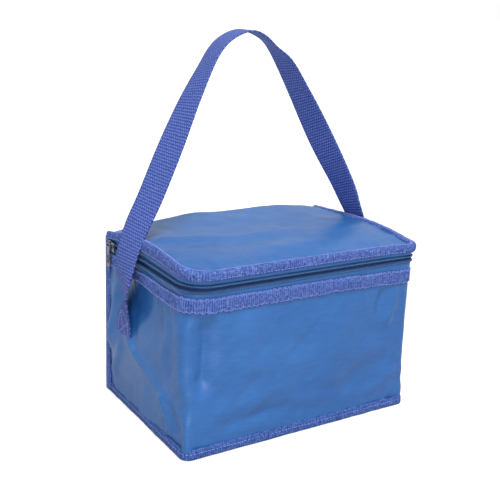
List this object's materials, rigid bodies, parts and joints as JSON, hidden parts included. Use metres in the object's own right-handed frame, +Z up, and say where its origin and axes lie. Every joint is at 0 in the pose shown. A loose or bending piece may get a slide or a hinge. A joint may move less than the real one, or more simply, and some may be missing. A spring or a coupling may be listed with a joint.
{
  "type": "insulated cooler bag",
  "caption": "Soft-sided insulated cooler bag: foam-lined box of nylon cloth with a zip round three sides, a lid that folds back and a webbing carrying handle.",
  "frame": {"origin": "middle of the base's outline, on the floor", "axes": "+Z up through the lid and handle, +X to the bag's right end, -Y out of the long front side; the lid's fold is at the back, +Y"},
  "size_m": [0.236, 0.148, 0.3114],
  "materials": {
    "nylon": "semi-gloss coated nylon",
    "webbing": "ribbed polypropylene webbing",
    "binding": "woven binding tape",
    "foam": "closed-cell foam",
    "lining": "wipe-clean film",
    "zip": "nylon coil zip",
    "metal": "plated metal",
    "thread": "polyester thread"
  },
  "bodies": {
    "body": {"base_outer_panel": "nylon", "base_foam": "foam", "base_lining": "lining", "wall_outer_panel": "nylon", "wall_foam": "foam", "wall_lining": "lining", "back_outer_panel": "nylon", "back_foam": "foam", "back_lining": "lining", "zip_strip_lower": "nylon", "zip_tape_lower": "zip", "zip_coil_lower": "zip", "trim_band": "binding", "binding_base": "binding", "binding_back_left": "binding", "binding_back_right": "binding", "handle_end_left": "webbing", "handle_end_right": "webbing", "handle_stitch_left": "thread", "handle_stitch_right": "thread"},
    "lid": {"lid_outer_panel": "nylon", "lid_foam": "foam", "lid_lining": "lining", "zip_strip_upper": "nylon", "zip_tape_upper": "zip", "zip_coil_upper": "zip", "binding_lid": "binding"},
    "handle": {"handle_webbing": "webbing"},
    "zip_slider": {"zip_slider": "metal"},
    "zip_puller": {"zip_puller": "metal"}
  },
  "joints": [
    {"name": "lid_open", "type": "hinge", "parent": "body", "child": "lid", "pos_m": [0, 0.0715, 0.1447], "axis": [-1, 0, 0], "range_deg": [0, 110]},
    {"name": "handle_fold", "type": "hinge", "parent": "body", "child": "handle", "pos_m": [0, 0.015, 0.15], "axis": [1, 0, 0], "range_deg": [0, 90], "deforming": ["handle_webbing"]},
    {"name": "zip_slide", "type": "slide", "parent": "body", "child": "zip_slider", "axis": [0, -1, 0], "range_m": [0, 0.1]},
    {"name": "puller_swing", "type": "hinge", "parent": "zip_slider", "child": "zip_puller", "pos_m": [-0.1108, 0.0635, 0.1335], "axis": [1, 0, 0], "range_deg": [-40, 80]}
  ],
  "couplings": [
    {"joint": "handle_fold", "follows": "lid_open", "ratio": 0.818}
  ]
}
